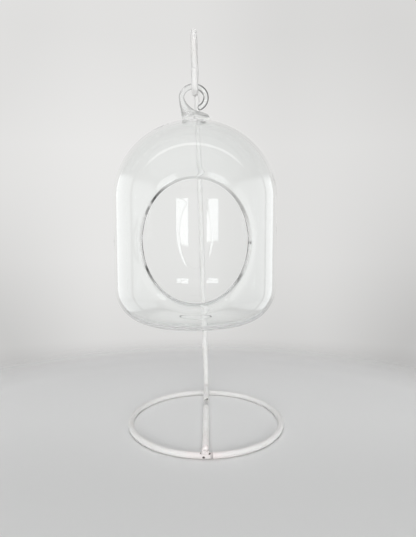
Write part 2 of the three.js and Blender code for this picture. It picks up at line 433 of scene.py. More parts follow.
@dataclass(frozen=True)
class Oval:
    """Bead of glass along an upright oval that faces the front, in metres.

    Its painted dark reflections are given by the hour on a clock's face, from 6 round to 18.
    """

    centre: Vector
    wide: float
    high: float
    band: float = 0.036
    band_heart: float = 0.55
    front_y: Pair = (-0.012, -0.004)
    # Painted dark reflections round the bead: hour and shade.
    dark: tuple[Pair, ...] = (
        (6.0, 0.12),
        (7.4, 0.15),
        (7.65, 0.6),
        (8.0, 1.0),
        (8.12, 0.8),
        (8.2, 0.0),
        (9.7, 0.0),
        (9.8, 0.3),
        (9.88, 0.0),
        (9.98, 0.8),
        (10.2, 0.8),
        (10.28, 0.0),
        (10.4, 0.9),
        (10.55, 1.0),
        (10.85, 0.8),
        (11.1, 0.3),
        (12.0, 0.12),
        (13.0, 0.15),
        (13.3, 0.4),
        (13.8, 0.45),
        (14.3, 0.12),
        (14.5, 0.0),
        (14.98, 0.0),
        (15.06, 0.9),
        (15.14, 0.0),
        (16.1, 0.05),
        (16.25, 0.6),
        (16.42, 0.6),
        (16.6, 0.12),
        (18.0, 0.12),
    )

    def share(self, m: Mixture) -> Socket:
        """Share that is 1 on the oval's line at the front of the vessel and 0 away from it.

        Args:
            m: Material that it is for.

        Returns:
            The share.
        """
        way = self._from_centre(m)
        scaled = m.vector("MULTIPLY", way, (2 / self.wide, 0.0, 2 / self.high))[0]
        off = m.maths("SUBTRACT", m.vector("LENGTH", scaled)["Value"], 1.0)
        width = m.maths("ABSOLUTE", off)
        line = m.span(width, (self.band * self.band_heart, self.band), (1, 0))
        return m.times(line, m.span(m.axes(way)["Y"], self.front_y, (1, 0)))

    def streaks(self, m: Mixture) -> Socket:
        """Dark stretches of the bead, which are painted dark reflections.

        Args:
            m: Material that they are for.

        Returns:
            The shade, from 0 to 1.
        """
        way = m.axes(self._from_centre(m))
        hour = m.span(m.maths("ARCTAN2", way["X"], way["Z"]), (-math.pi, math.pi), (0, 1))
        first, last = self.dark[0][0], self.dark[-1][0]
        turns = [(eased((at - first) / (last - first)), dark) for at, dark in self.dark]
        return m.ramp(hour, [(turn, (dark, dark, dark)) for turn, dark in turns])

    def _from_centre(self, m: Mixture) -> Socket:
        """Way to the surface from the oval's middle."""
        return m.vector("SUBTRACT", m.place, self.centre)[0]


@dataclass(frozen=True)
class Rod:
    """Part of a piece that is drawn out to a rod, in metres. Its right side gets more painted dark
    reflection.
    """

    foot: float
    middle: float
    fade: float = 0.003
    left_share: float = 0.45
    streak_mm: float = 9.0

    def share(self, m: Mixture) -> Socket:
        """Share that is 1 on the rod and 0 below it.

        Args:
            m: Material that it is for.

        Returns:
            The share.
        """
        place = m.axes(m.place)
        # More painted dark reflection on the rod's right side than on its left.
        aside = (self.middle, self.middle + 2 * self.fade)
        rightwards = m.span(place["X"], aside, (self.left_share, 1))
        upwards = m.span(place["Z"], (self.foot, self.foot + self.fade), (0, 1))
        return m.times(upwards, rightwards)

    def streaks(self, m: Mixture) -> Socket:
        """Painted dark reflections of the rod, here and there along it.

        Args:
            m: Material that they are for.

        Returns:
            The shade, from 0 to 1.
        """
        return m.patches(self.streak_mm, detail=1, cut=(0.34, 0.54), share=(0.1, 1))


@dataclass(frozen=True)
class PaleTable:
    """Pale matt table top, painted brighter in its middle than at its front and back as a painted
    pool of light, that fades out all round into the surround's tone.
    """

    centre: Vector
    near_tone: Colour = (0.72, 0.724, 0.722)
    tone: Colour = (0.805, 0.809, 0.807)
    far_tone: Colour = (0.76, 0.76, 0.76)
    near_y: Pair = (-0.12, 0.02)
    far_y: Pair = (0.06, 0.22)
    full_mm: float = 270.0
    none_mm: float = 400.0

    def material(self) -> bpy.types.Material:
        """Mix the table top.

        Returns:
            The material.
        """
        m = Mixture("pale_table")
        back = m.axes(m.place)["Y"]
        # Painted pool of light: the top is darker towards the front and the back.
        colour = m.mix(m.span(back, self.near_y, (0, 1)), self.near_tone, self.tone)
        colour = m.mix(m.span(back, self.far_y, (0, 1)), colour, self.far_tone)
        m.dress({"Base Color": colour, "Roughness": 0.7, "Specular IOR Level": 0.2})
        clear = m.node("ShaderNodeBsdfTransparent").outputs[0]
        share = m.near(self.centre, self.full_mm, self.none_mm)
        both = m.node("ShaderNodeMixShader", {0: share, 1: clear, 2: m.shader.outputs[0]})
        m.feed(m.tree.nodes["Material Output"], "Surface", both.outputs[0])
        return m.material


@dataclass(frozen=True)
class Station:
    """One round or oval section of a drawn wire or rod, in millimetres."""

    point: Vector
    along: Vector
    wide: float
    deep: float

    def frame(self, side: Vector) -> Matrix:
        """Matrix that takes a flat unit circle to this section.

        Args:
            side: Way that the section's depth is measured in.

        Returns:
            The matrix.
        """
        along = self.along.normalized()
        v = (side - along * side.dot(along)).normalized()
        u = v.cross(along)
        turned = Matrix((u * self.wide, v * self.deep, along)).transposed().to_4x4()
        return Matrix.Translation(self.point) @ turned


def round_station(point: Sequence[float], along: Sequence[float], radius: float) -> Station:
    """Give a round section.

    Args:
        point: Its middle.
        along: Way that the wire runs.
        radius: Its radius.

    Returns:
        The section.
    """
    return Station(Vector(point), Vector(along), radius, radius)


def through(points: Sequence[Vector], radius: float) -> list[Station]:
    """Give round sections through points, each square to the way there.

    Args:
        points: Middles of the sections.
        radius: Their radius.

    Returns:
        The sections.
    """
    ways = [(b - a).normalized() for a, b in pairwise(points)]
    ways = [ways[0], *((a + b).normalized() for a, b in pairwise(ways)), ways[-1]]
    return [Station(p, way, radius, radius) for p, way in zip(points, ways)]


def grow(
    bm: BMesh, edges: list[bmesh.types.BMEdge]
) -> tuple[list[bmesh.types.BMVert], list[bmesh.types.BMEdge]]:
    """Extrude a loop of edges, in place.

    Args:
        bm: Mesh that holds them.
        edges: The loop.

    Returns:
        Corners and edges of the new loop.
    """
    grown = bmesh.ops.extrude_edge_only(bm, edges=edges)["geom"]
    verts = [g for g in grown if isinstance(g, bmesh.types.BMVert)]
    corners = set(verts)
    loop = [g for g in grown if isinstance(g, bmesh.types.BMEdge) and corners.issuperset(g.verts)]
    return verts, loop


def draw_out(bm: BMesh, stations: Sequence[Station], side: Vector, sides: int) -> None:
    """Draw a section through stations, closed at both ends.

    Args:
        bm: Mesh that it goes into.
        stations: Sections in order.
        side: Way that their depth is measured in.
        sides: Corners of each section.
    """
    frames = [s.frame(side) for s in stations]
    made = bmesh.ops.create_circle(bm, cap_ends=True, segments=sides, radius=1.0, matrix=frames[0])
    corners = set(made["verts"])
    edges = [e for e in bm.edges if corners.issuperset(e.verts)]
    for before, after in pairwise(frames):
        verts, edges = grow(bm, edges)
        bmesh.ops.transform(bm, matrix=after @ before.inverted(), verts=verts)
    bmesh.ops.edgeloop_fill(bm, edges=edges)


def bend(centre: Pair, radius: float, start: float, end: float, steps: int) -> list[Pair]:
    """Points of an arc in a plane.

    Args:
        centre: Its middle.
        radius: Its radius.
        start: First angle in degrees.
        end: Last angle in degrees.
        steps: Number of steps.

    Returns:
        The points.
    """
    angles = [math.radians(start + (end - start) * i / steps) for i in range(steps + 1)]
    return [(centre[0] + radius * math.cos(a), centre[1] + radius * math.sin(a)) for a in angles]


@dataclass
class Assembly:
    """Pieces that share an origin and a body."""

    origin: Vector
    body: Body

    def keep(
        self,
        name: str,
        node: str,
        bm: BMesh,
        finish: bpy.types.Material,
        slot: Slot,
        crease: float = 35,
    ) -> bpy.types.Object:
        """Make a piece of a mesh, put it in place of its CAD node and let it ride.

        Args:
            name: Name of the piece.
            node: CAD node that it stands for.
            bm: Closed mesh in millimetres, which is used up.
            finish: Its material.
            slot: Finish of the record that it has. Not used.
            crease: Angle in degrees past which an edge stays sharp.

        Returns:
            The piece.
        """
        bmesh.ops.recalc_face_normals(bm, faces=bm.faces)
        bmesh.ops.scale(bm, vec=(MM, MM, MM), verts=bm.verts)
        bmesh.ops.translate(bm, vec=self.origin, verts=bm.verts)
        mesh = bpy.data.meshes.new(name)
        bm.to_mesh(mesh)
        bm.free()
        mesh.shade_smooth()
        mesh.set_sharp_from_angle(angle=math.radians(crease))
        mesh.materials.append(finish)
        piece = bpy.data.objects.new(name, mesh)
        bpy.context.scene.collection.objects.link(piece)
        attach(piece, self.body.value)
        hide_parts(node)
        log.info("%s: %d faces, stands for %s", name, len(mesh.polygons), node)
        return piece


def melted(bm: BMesh, grain: float, passes: int) -> BMesh:
    """Fuse overlapping forms into one skin and smooth it.

    Args:
        bm: Forms in millimetres, which are used up.
        grain: Size of the skin's faces.
        passes: Rounds of smoothing.

    Returns:
        The fused skin.
    """
    bmesh.ops.recalc_face_normals(bm, faces=bm.faces)
    mesh = bpy.data.meshes.new("melt")
    bm.to_mesh(mesh)
    bm.free()
    blank = bpy.data.objects.new("melt", mesh)
    bpy.context.scene.collection.objects.link(blank)
    fuse = blank.modifiers.new("fuse", "REMESH")
    fuse.mode = "VOXEL"
    fuse.voxel_size = grain
    even = blank.modifiers.new("even", "SMOOTH")
    even.factor = 0.5
    even.iterations = passes
    skin = bmesh.new()
    skin.from_object(blank, bpy.context.evaluated_depsgraph_get())
    bpy.data.objects.remove(blank)
    bpy.data.meshes.remove(mesh)
    return skin


@dataclass
class WireStand(Assembly):
    """White wire stand: welded ring, foot bar, pin and the bent upright with its hook."""

    wire_d: float = 5.0
    fit: float = 0.3
    ring_od: float = 135.0
    ring_flat: float = 1.8
    ring_steps: int = 180
    seam_x: float = 4.4
    seam_w: float = 0.8
    seam_drop: float = 0.1
    seam_swell: tuple[Pair, ...] = ((-1, 0.86), (-0.7, 0.96), (0, 1), (0.7, 0.96), (1, 0.86))
    bar_front: float = -66.3
    bar_rear: float = 15.0
    bar_nose: float = 2.2
    nose_steps: int = 8
    bar_tip: tuple[Pair, ...] = ((0, 1.9), (0.25, 1.2), (0.7, 0.6), (1.4, 0.2), (2.4, 0))
    pin_d: float = 2.8
    pin_gap: float = 14.0
    pin_insert: float = 8.0
    pin_chamfer: float = 0.4
    bore_d: float = 3.4
    foot_edge: tuple[Pair, ...] = ((0, 0.35), (0.12, 0.1))
    foot_full: float = 0.5
    foot_bend: float = 7.5
    bend_steps: int = 14
    lean_deg: float = 1.82
    spring_z: float = 300.0
    crook_steps: int = 56
    hook_y: float = -11.0
    hook_z: float = 277.5
    hook_r: float = 6.5
    hook_steps: int = 32
    tip_rise: float = 17.5
    cap_steps: int = 6
    sides: int = 32
    # One white paint in three copies: the bar's copy is brighter as painted light, the ring's copy
    # darker as painted shade, and the upright keeps the plain white.
    ring_white_shaded: Colour = (0.77, 0.765, 0.755)
    bar_white_lit: Colour = (0.93, 0.925, 0.915)
    rod_white: Colour = (0.83, 0.825, 0.815)
    weld_grain: float = 0.12
    weld_passes: int = 2
    weld_rough: float = 0.22
    weld_sink: float = 0.2
    weld_bumps: tuple[Pair, ...] = ((0.9, 1.0), (2.2, 0.6))
    weld_lumps: tuple[tuple[float, ...], ...] = (
        (-0.94, -0.02, 0.02, 0.34, 0.40, 0.36),
        (-0.72, -0.14, -0.74, 0.50, 0.46, 0.50),
        (-0.12, -0.34, -0.52, 0.52, 0.34, 0.42),
        (0.78, 0.00, -0.92, 0.42, 0.44, 0.42),
        (0.05, -0.18, -1.24, 0.86, 0.50, 0.52),
        (-0.96, -0.12, -1.30, 0.42, 0.36, 0.38),
        (0.05, 0.55, -0.95, 1.05, 0.75, 0.45),
    )
    # Dark spots by the weld and at the upright's foot, rust pits and painted shade in the gaps: x,
    # y, z and size in mm.
    rust_and_shade_marks_mm: tuple[tuple[float, float, float, float], ...] = (
        (-1.45, -67.45, 1.9, 1.15),
        (2.8, -66.3, 4.5, 1.05),
        (-3.7, -66.0, 4.6, 0.6),
        (1.1, 28.9, 9.4, 0.9),
    )

    @property
    def wire_r(self) -> float:
        """Radius of the wire."""
        return self.wire_d / 2

    @property
    def ring_r(self) -> float:
        """Radius of the ring's centre line."""
        return (self.ring_od - self.wire_d) / 2

    @property
    def ring_z(self) -> float:
        """Height of the ring's centre line."""
        return math.sqrt(self.wire_r**2 - (self.ring_flat / 2) ** 2)

    @property
    def foot_z(self) -> float:
        """Height of the bar's and the foot's centre line."""
        return self.ring_z + self.wire_d + self.fit

    def at(self, x: float, y: float, z: float) -> Vector:
        """Place of a point of the stand in metres."""
        return self.origin + Vector((x, y, z)) * MM

    @property
    def rust_and_shade_marks(self) -> tuple[tuple[Vector, float], ...]:
        """Rust chips in the paint, and painted shade in the gaps by the weld and at the upright's
        foot: each one's place in metres and its size.
        """
        return tuple((self.at(x, y, z), size) for x, y, z, size in self.rust_and_shade_marks_mm)

    def build(self) -> None:
        """Make and dress the stand's pieces."""
        weld = self.at(0, self.bar_front, self.ring_z)
        # The ring and the weld get the shaded copy of the white, the bar the lit copy.
        ring = WhitePaint("ring_paint_shaded", self.ring_white_shaded, weld, self.rust_and_shade_marks).material()
        bar = WhitePaint("bar_paint_lit", self.bar_white_lit, weld, self.rust_and_shade_marks).material()
        rod = WhitePaint("rod_paint", self.rod_white, weld, self.rust_and_shade_marks).material()
        self.keep("welded_base_ring", "base_ring", self._ring(), ring, Slot.PAINT)
        self.keep("ring_seam_bead", "ring_seam_weld", self._seam(), ring, Slot.PAINT)
        self.keep("straight_foot_bar", "foot_bar", self._bar(), bar, Slot.PAINT)
        self.keep("bar_end_weld", "front_weld", self._weld(), ring, Slot.PAINT, crease=80)
        self.keep("bare_joint_pin", "joint_pin", self._pin(), BareSteel().material(), Slot.STEEL)
        self.keep("bent_upright", "upright_rod", self._upright(), rod, Slot.PAINT)

    def _ring(self) -> BMesh:
        """Ring of wire, open at its seam and ground flat underneath.

        Returns:
            The mesh.
        """
        half = math.degrees((self.seam_w / 2 + self.fit) / self.ring_r)
        seam = -90 + math.degrees(math.asin(self.seam_x / self.ring_r))
        turn = bend((0, 0), self.ring_r, seam + half, seam + 360 - half, self.ring_steps)
        line = [Vector((x, y, self.ring_z)) for x, y in turn]
        bm = bmesh.new()
        draw_out(bm, through(line, self.wire_r), UP, self.sides)
        for v in bm.verts:
            v.co.z = max(v.co.z, 0.0)
        return bm

    def _seam(self) -> BMesh:
        """Bead of weld that closes the ring, a little lower than the wire.

        Returns:
            The mesh.
        """
        angle = math.asin(self.seam_x / self.ring_r)
        way = Vector((math.cos(angle), math.sin(angle), 0))
        middle = Vector((way.y, -way.x, 0)) * self.ring_r + UP * self.ring_z
        radius, half = self.ring_z - self.seam_drop, self.seam_w / 2
        rows = [(middle + way * half * at, radius * swell) for at, swell in self.seam_swell]
        bm = bmesh.new()
        draw_out(bm, [round_station(point, way, r) for point, r in rows], UP, self.sides)
        return bm

    def _turned(self, profile: Sequence[Pair]) -> BMesh:
        """Straight round piece along the bar's line.

        Args:
            profile: Distance along and radius, in order.

        Returns:
            The mesh.
        """
        bm = bmesh.new()
        stations = [round_station((0, y, self.foot_z), (0, 1, 0), r) for y, r in profile]
        draw_out(bm, stations, Vector((1, 0, 0)), self.sides)
        return bm

    def _bar(self) -> BMesh:
        """Straight bar with a rounded, bored rear end.

        Returns:
            The mesh.
        """
        r, bore = self.wire_r, self.bore_d / 2
        turn = bend((0, 0), 1.0, 0, 90, self.nose_steps)
        nose = [
            (self.bar_rear - self.bar_nose * (1 - along), bore + (r - bore) * out)
            for out, along in turn
        ]
        front = [(self.bar_front + run, r - cut) for run, cut in self.bar_tip]
        return self._turned([*front, *nose, (self.bar_rear - self.pin_insert - self.fit, bore)])

    def _pin(self) -> BMesh:
        """Bare pin with chamfered ends.

        Returns:
            The mesh.
        """
        r, cut = self.pin_d / 2, self.pin_chamfer
        start = self.bar_rear - self.pin_insert
        end = self.bar_rear + self.pin_gap + self.pin_insert
        return self._turned([(start, r - cut), (start + cut, r), (end - cut, r), (end, r - cut)])

    def _weld(self) -> BMesh:
        """Lumpy weld that wraps the bar's front end down onto the ring.

        Returns:
            The mesh.
        """
        bm = bmesh.new()
        end = Vector((0, self.bar_front, self.foot_z))
        for x, y, z, *size in self.weld_lumps:
            spot = Matrix.Translation(end + Vector((x, y, z)) * self.wire_r)
            spot @= Matrix.Diagonal((*size, 1))
            bmesh.ops.create_icosphere(bm, subdivisions=4, radius=self.wire_r, matrix=spot)
        skin = melted(bm, self.weld_grain, self.weld_passes)
        skin.normal_update()
        for v in skin.verts:
            bumps = sum(high * noise.noise(v.co * rate) for rate, high in self.weld_bumps)
            v.co += v.normal * self.weld_rough * (bumps - self.weld_sink)
        return skin

    def _upright_line(self) -> list[Vector]:
        """Centre line of the upright from its foot to the hook's tip, leaning left as it rises.

        Returns:
            The points.
        """
        foot = self.bar_rear + self.pin_gap
        riser = self.ring_r + self.foot_bend
        crook = (riser - self.hook_y - self.hook_r) / 2
        heel, hook = self.foot_z + self.foot_bend, self.hook_z + self.hook_r
        line = [
            (foot + self.foot_full, self.foot_z),
            *bend((self.ring_r, heel), self.foot_bend, -90, 0, self.bend_steps),
            *bend((riser - crook, self.spring_z), crook, 0, 180, self.crook_steps),
            *bend((self.hook_y, hook), self.hook_r, 0, -180, self.hook_steps),
            (self.hook_y - self.hook_r, self.hook_z + self.tip_rise - self.wire_r),
        ]
        lean = math.tan(math.radians(self.lean_deg))
        return [Vector((-lean * (z - self.foot_z), y, z)) for y, z in line]

    def _upright(self) -> BMesh:
        """Upright of bent wire, with a bored flat foot and a rounded tip.

        Returns:
            The mesh.
        """
        r, bore = self.wire_r, self.bore_d / 2
        foot = self.bar_rear + self.pin_gap
        edge = [(foot + run, r - cut) for run, cut in self.foot_edge]
        ends = [(foot + self.pin_insert + self.fit, bore), (foot, bore), *edge]
        stations = [round_station((0, y, self.foot_z), (0, 1, 0), k) for y, k in ends]
        stations += through(self._upright_line(), r)
        last = stations[-1]
        for out, along in bend((0, 0), r, 0, 90, self.cap_steps)[1:-1]:
            stations.append(round_station(last.point + last.along * along, last.along, out))
        bm = bmesh.new()
        draw_out(bm, stations, Vector((1, 0, 0)), self.sides)
        return bm


@dataclass
class GlassVessel(Assembly):
    """Blown vessel: round body, domed top, rounded bottom with a mark, oval mouth with a lip."""

    body_r: float = 66.0
    body_h: float = 162.6
    dome_h: float = 62.6
    corner_r: float = 29.0
    wall: float = 2.4
    mark_r: float = 12.0
    mark_bevel: float = 1.5
    mark_depth: float = 0.6
    mark_margin: float = 5.0
    mark_cuts: int = 4
    turn_deg: float = 1.5
    mouth_w: float = 79.2
    mouth_h: float = 89.4
    mouth_z: float = 68.2
    lip_d: float = 3.4
    lip_run: float = 6.0
    lip_line: float = 0.45
    heart_z: float = 76.0
    wave: float = 0.08
    wave_rate: float = 2.9
    wave_start: float = 8.0
    wave_fade: float = 20.0
    merge: float = 0.002
    columns: int = 184
    bead_rows: int = 6
    near_rows: tuple[float, ...] = (2.4, 3.3, 4.4, 5.8, 7.4, 9.0)
    rings: int = 108

    @property
    def side_top(self) -> float:
        """Height at which the dome starts."""
        return self.body_h - self.dome_h

    @property
    def mouth(self) -> Oval:
        """The line along the inside of the lip's bead.

        Returns:
            The line, in metres.
        """
        inside = 2 * self.lip_line - self.lip_d
        aside = self.body_r * math.sin(math.radians(self.turn_deg))
        centre = self.origin + Vector((aside, 0, self.mouth_z)) * MM
        return Oval(centre, (self.mouth_w + inside) * MM, (self.mouth_h + inside) * MM)

    def build(self, glass: bpy.types.Material) -> None:
        """Make and dress the vessel.

        Args:
            glass: Clear glass.
        """
        bm = bmesh.new()
        column = bm.verts.layers.int.new("column")
        rim = bmesh.ops.create_circle(bm, segments=self.columns, radius=1.0)["verts"]
        edges = list(bm.edges)
        turn = Matrix.Rotation(math.radians(self.turn_deg), 3, "Z")
        lip = [turn @ self._lip_point(2 * math.pi * i / self.columns) for i in range(self.columns)]
        for i, v in enumerate(rim):
            v[column] = i
            v.co = lip[i]
        for skin in Skin:
            self._spread(bm, edges, lip, skin)
        bmesh.ops.remove_doubles(bm, verts=bm.verts, dist=self.merge)
        self._press_mark(bm)
        vessel = self.keep("blown_vessel", "glass_vessel", bm, glass, Slot.GLASS, crease=80)
        vessel.visible_shadow = vessel.visible_diffuse = False

    def _middle_radius(self, z: float) -> float:
        """Radius of the middle of the wall at a height of the body.

        Args:
            z: The height.

        Returns:
            The radius.
        """
        half = self.wall / 2
        if z < self.corner_r:
            out = math.sqrt((self.corner_r - half) ** 2 - (self.corner_r - z) ** 2)
            return self.body_r - self.corner_r + out
        if z > self.side_top:
            up = (z - self.side_top) / (self.dome_h - half)
            return (self.body_r - half) * math.sqrt(1 - up**2)
        return self.body_r - half

    def _lip_point(self, angle: float) -> Vector:
        """Point of the lip's inner edge, on the middle of the wall.

        Args:
            angle: Angle about the mouth.

        Returns:
            The point.
        """
        x = (self.mouth_w - self.lip_d) / 2 * math.cos(angle)
        z = self.mouth_z + (self.mouth_h - self.lip_d) / 2 * math.sin(angle)
        return Vector((x, -math.sqrt(self._middle_radius(z) ** 2 - x**2), z))

    def _meridian(self, run: float, rise: float) -> tuple[float, float, float, float]:
        """Where a ray from the heart of the vessel meets the middle of the wall.

        Args:
            run: The ray's way outwards.
            rise: The ray's way up.

        Returns:
            Radius and height there, and the wall's normal outwards and up.
        """
        half = self.wall / 2
        r, h = self.body_r - half, self.dome_h - half
        side = self.heart_z + rise * r / max(run, TINY)
        if side > self.side_top:
            low = self.heart_z - self.side_top
            a, b, c = (run / r) ** 2 + (rise / h) ** 2, rise * low / h**2, (low / h) ** 2 - 1
            t = (-b + math.sqrt(b * b - a * c)) / a
            normal = Vector((run * t / r**2, (low + rise * t) / h**2)).normalized()
            return run * t, self.heart_z + rise * t, normal.x, normal.y
        if side >= self.corner_r:
            return r, side, 1.0, 0.0
        flat = self.body_r - self.corner_r
        down = (half - self.heart_z) / rise
        if run * down <= flat:
            return run * down, half, 0.0, -1.0
        low, corner = self.heart_z - self.corner_r, self.corner_r - half
        b, c = rise * low - run * flat, flat**2 + low**2 - corner**2
        t = -b + math.sqrt(b * b - c)
        out, up = (run * t - flat) / corner, (low + rise * t) / corner
        return run * t, self.heart_z + rise * t, out, up

    def _wall_point(self, way: Vector, offset: float) -> Vector:
        """Point of the wall in a direction from the heart of the vessel.

        Args:
            way: Unit direction.
            offset: Distance from the middle of the wall, outwards.

        Returns:
            The point.
        """
        run = math.hypot(way.x, way.y)
        radius, z, out, up = self._meridian(run, way.z)
        level = Vector((way.x, way.y, 0)) / max(run, TINY)
        return level * (radius + out * offset) + Vector((0, 0, z + up * offset))

    def _half_wall(self, run: float) -> float:
        """Half the wall's thickness at a distance from the lip's edge, with the lip's bead.

        Args:
            run: The distance.

        Returns:
            Half the thickness.
        """
        bead, half = self.lip_d / 2, self.wall / 2
        if run < bead:
            return math.sqrt(bead**2 - (bead - run) ** 2)
        return bead + (half - bead) * eased((run - bead) / self.lip_run)

    def _spread(
        self, bm: BMesh, edges: list[bmesh.types.BMEdge], lip: Sequence[Vector], skin: Skin
    ) -> None:
        """Draw one side of the wall from the lip's edge round to the middle of the back.

        Args:
            bm: Mesh that holds the lip's edge.
            edges: Edges of the lip.
            lip: Points of the lip's edge.
            skin: Side to draw.
        """
        column = bm.verts.layers.int["column"]
        heart, front = Vector((0, 0, self.heart_z)), Vector((0, -1, 0))
        rays = []
        for point in lip:
            ray = point - heart
            away = (ray - front * ray.dot(front)).normalized()
            rays.append((ray.length, ray.angle(front), away))
        bead = self.lip_d / 2
        near = [bead - out for out, _ in bend((0, 0), bead, 0, 90, self.bead_rows)[1:]]
        near += self.near_rows
        for k in range(len(near) + self.rings):
            verts, edges = grow(bm, edges)
            for v in verts:
                reach, start, away = rays[v[column]]
                run = near[min(k, len(near) - 1)]
                angle = start + run / reach
                if k >= len(near):
                    angle += (math.pi - angle) * (k + 1 - len(near)) / self.rings
                    run = self.body_r
                way = front * math.cos(angle) + away * math.sin(angle)
                offset = self._half_wall(run) * skin.value
                if skin is Skin.INNER:
                    fade = eased((run - self.wave_start) / self.wave_fade)
                    offset += self.wave * noise.noise(way * self.wave_rate) * fade
                v.co = self._wall_point(way, offset)

    def _press_mark(self, bm: BMesh) -> None:
        """Press the round mark into the bottom.

        Args:
            bm: The vessel.
        """
        reach = self.mark_r + self.mark_bevel
        flat = [v for v in bm.verts if abs(v.co.z) < HAIR_MM]
        under = {v for v in flat if v.co.xy.length < reach + self.mark_margin}
        edges = [e for e in bm.edges if under.issuperset(e.verts)]
        bmesh.ops.subdivide_edges(bm, edges=edges, cuts=self.mark_cuts, use_grid_fill=True)
        for v in bm.verts:
            if abs(v.co.z) < HAIR_MM:
                v.co.z += self.mark_depth * eased((reach - v.co.xy.length) / self.mark_bevel)


@dataclass
class HangingLoop(Assembly):
    """Loop drawn from a gather on the crown, bent over into an eye, its tail laid back on it."""

    vessel: GlassVessel
    rod_d: float = 4.4
    eye_d: float = 13.2
    eye_wide: float = 15.1
    eye_x: float = -1.05
    rise: float = 17.9
    stem_deg: float = 180.0
    tail_deg: float = -72.0
    tip_least: float = 0.004
    seat: float = 0.15
    sides: int = 48
    row_steps: int = 5
    eye_steps: int = 80
    cap_steps: int = 10
    gather: tuple[tuple[float, float, float, float], ...] = (
        (-2.4, -10.7, 13.0, 10.0),
        (0.0, -10.7, 13.0, 10.0),
        (1.7, -10.8, 12.1, 8.6),
        (3.4, -10.95, 11.3, 7.2),
        (4.8, -11.1, 10.2, 6.2),
        (5.8, -11.2, 8.4, 5.4),
        (6.7, -11.35, 5.4, 4.8),
        (7.6, -11.5, 2.0, 4.3),
        (8.5, -11.6, -0.4, 3.9),
        (10.0, -11.85, -2.9, 3.4),
        (11.8, -12.2, -5.0, 3.0),
        (13.6, -12.5, -6.6, 2.65),
        (16.1, -12.85, -8.1, 2.35),
        (17.9, -13.0, -8.6, 2.2),
    )
    foot_steps: tuple[float, ...] = (0.04, 0.35, 0.65, 0.9)

    @property
    def drawn(self) -> Rod:
        """The drawn part of the loop, above the gather's shoulder."""
        shoulder = self.vessel.body_h + self.gather[2][0]
        return Rod(self.origin.z + shoulder * MM, self.origin.x)

    def build(self, glass: bpy.types.Material) -> None:
        """Make and dress the loop, drawn in one go from its foot to the end of its tail.

        Args:
            glass: Clear glass.
        """
        rise, left, right, depth = self.gather[0]
        middle, half = (left + right) / 2, (right - left) / 2
        foot = [
            self._level(rise, middle - half * share, middle + half * share, depth * share)
            for share in self.foot_steps
        ]
        rows = self.row_steps * (len(self.gather) - 1)
        stem = [self._level(*self._row(i / self.row_steps)) for i in range(rows)]
        bm = bmesh.new()
        draw_out(bm, foot + stem + self._rod(), Vector((0, 1, 0)), self.sides)
        for v in bm.verts:
            v.co.z = max(v.co.z, self._crown(v.co) + self.seat)
        loop = self.keep("drawn_loop", "hanging_loop", bm, glass, Slot.GLASS, crease=60)
        loop.visible_shadow = loop.visible_diffuse = False

    def _row(self, at: float) -> tuple[float, ...]:
        """Row of the gather on a smooth curve through the given ones.

        Args:
            at: Place among the given rows.

        Returns:
            Height over the crown, left end, right end and half depth.
        """
        i = min(int(at), len(self.gather) - 2)
        t, last = at - i, len(self.gather) - 1
        rows = (self.gather[min(max(i + k, 0), last)] for k in (-1, 0, 1, 2))
        return tuple(
            b
            + (c - a) * t / 2
            + (2 * a - 5 * b + 4 * c - d) * t**2 / 2
            + (3 * b - a - 3 * c + d) * t**3 / 2
            for a, b, c, d in zip(*rows)
        )

    def _crown(self, point: Vector) -> float:
        """Height of the dome's outside at a point.

        Args:
            point: The point.

        Returns:
            The height.
        """
        share = point.xy.length_squared / self.vessel.body_r**2
        return self.vessel.body_h - self.vessel.dome_h * (1 - math.sqrt(1 - share))

    def _level(self, rise: float, left: float, right: float, depth: float) -> Station:
        """Level section of the gather.

        Args:
            rise: Height over the crown.
            left: Its left end.
            right: Its right end.
            depth: Half its depth.

        Returns:
            The section.
        """
        middle = Vector(((left + right) / 2, 0, self.vessel.body_h + rise))
        return Station(middle, UP, (right - left) / 2, depth)

    def _rod(self) -> list[Station]:
        """Sections of the rod round the eye, with a round end.

        Returns:
            The sections.
        """
        rod = self.rod_d / 2
        wide, high = self.eye_wide / 2 + rod, self.eye_d / 2 + rod
        reach = math.degrees(rod / wide)
        start, end = self.stem_deg, self.tail_deg + reach
        angles = [start + (end - start) * i / self.eye_steps for i in range(self.eye_steps)]
        angles += [end - along for _, along in bend((0, 0), reach, 0, 90, self.cap_steps)]
        stations = []
        for angle in angles:
            close = max((end - angle) / reach, 0)
            radius = rod * math.sqrt(max(1 - close**2, self.tip_least))
            out, up = math.cos(math.radians(angle)), math.sin(math.radians(angle))
            z = self.vessel.body_h + self.rise + high * up
            along = (wide * up, 0, -high * out)
            stations.append(round_station((self.eye_x + wide * out, 0, z), along, radius))
        return stations


